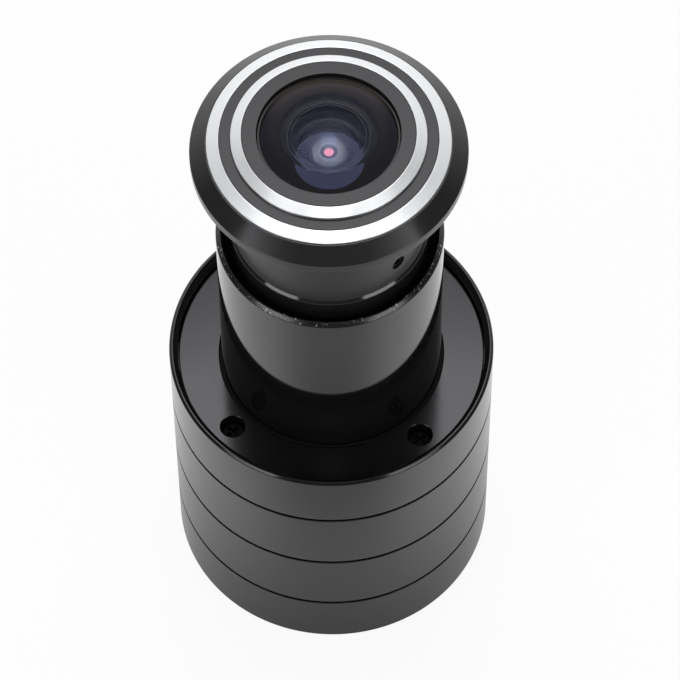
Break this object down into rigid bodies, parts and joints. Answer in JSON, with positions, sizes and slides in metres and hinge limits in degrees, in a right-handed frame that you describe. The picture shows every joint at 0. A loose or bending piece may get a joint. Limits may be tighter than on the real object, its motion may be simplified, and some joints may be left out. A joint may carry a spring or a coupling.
{
  "type": "peephole door camera",
  "caption": "Black door-viewer camera: round grooved housing, tube through the door and a telescoping bezel with bright rings around a fisheye lens.",
  "frame": {"origin": "centre of the housing's rear face, on the tube's axis", "axes": "+Z along the tube's axis from the room side to the lens; -Y towards the side with the power socket"},
  "size_m": [0.0356, 0.0356, 0.0764],
  "materials": {
    "black_anodised": "satin black anodised",
    "lens_black": "matte black anodised",
    "bright_aluminium": "bright, fine-turned",
    "black_plastic": "fine moulded texture",
    "black_steel": "black oxide",
    "steel": "plain",
    "brass": "turned",
    "circuit_board": "green solder mask",
    "chip_black": "moulded",
    "shield_metal": "tinned",
    "cream_plastic": "moulded",
    "clear_plastic": "clear",
    "rubber": "matte",
    "front_glass": "coated",
    "coated_glass": "blue-violet coating",
    "filter_glass": "infrared cut",
    "ribbon_film": "amber film"
  },
  "bodies": {
    "housing": {"housing_shell": "black_anodised", "front_plate": "black_anodised", "door_tube": "black_anodised", "plate_screws": "black_steel", "rear_cover": "black_plastic", "rear_screws": "black_steel", "rear_standoffs": "brass", "middle_standoffs": "brass", "front_standoffs": "brass", "power_board": "circuit_board", "main_board": "circuit_board", "processor_chip": "chip_black", "memory_chip": "chip_black", "main_flex_socket": "cream_plastic", "board_header": "chip_black", "wifi_module": "shield_metal", "antenna": "cream_plastic", "usb_socket": "shield_metal", "usb_tongue": "chip_black", "reset_switch": "chip_black", "status_led": "cream_plastic", "light_pipe": "clear_plastic", "microphone": "shield_metal", "mic_boot": "rubber", "sensor_ribbon": "ribbon_film"},
    "barrel": {"bezel_barrel": "black_anodised", "inner_trim_ring": "bright_aluminium", "outer_trim_ring": "bright_aluminium", "barrel_seals": "rubber", "lens_lock_screw": "black_steel"},
    "lens_capsule": {"lens_holder": "black_plastic", "lens_barrel": "lens_black", "lens_seal": "rubber", "front_lens": "front_glass", "lens_spacer": "lens_black", "second_lens": "coated_glass", "aperture_disc": "lens_black", "rear_lens": "coated_glass", "lens_retainer": "lens_black", "infrared_filter": "filter_glass", "image_sensor": "chip_black", "sensor_board": "circuit_board", "sensor_screws": "steel", "sensor_flex_socket": "cream_plastic"},
    "reset_button": {"reset_button": "black_plastic", "switch_plunger": "cream_plastic"}
  },
  "joints": [
    {"name": "barrel_travel", "type": "slide", "parent": "housing", "child": "barrel", "axis": [0, 0, 1], "range_m": [-0.0136, 0.04], "deforming": ["sensor_ribbon"]},
    {"name": "lens_level", "type": "hinge", "parent": "barrel", "child": "lens_capsule", "pos_m": [0, 0, 0.0628], "axis": [0, 0, 1], "range_deg": [-45, 45]},
    {"name": "reset_press", "type": "slide", "parent": "housing", "child": "reset_button", "axis": [0, 0, 1], "range_m": [0, 0.0004], "stiffness_N_per_m": 800}
  ]
}
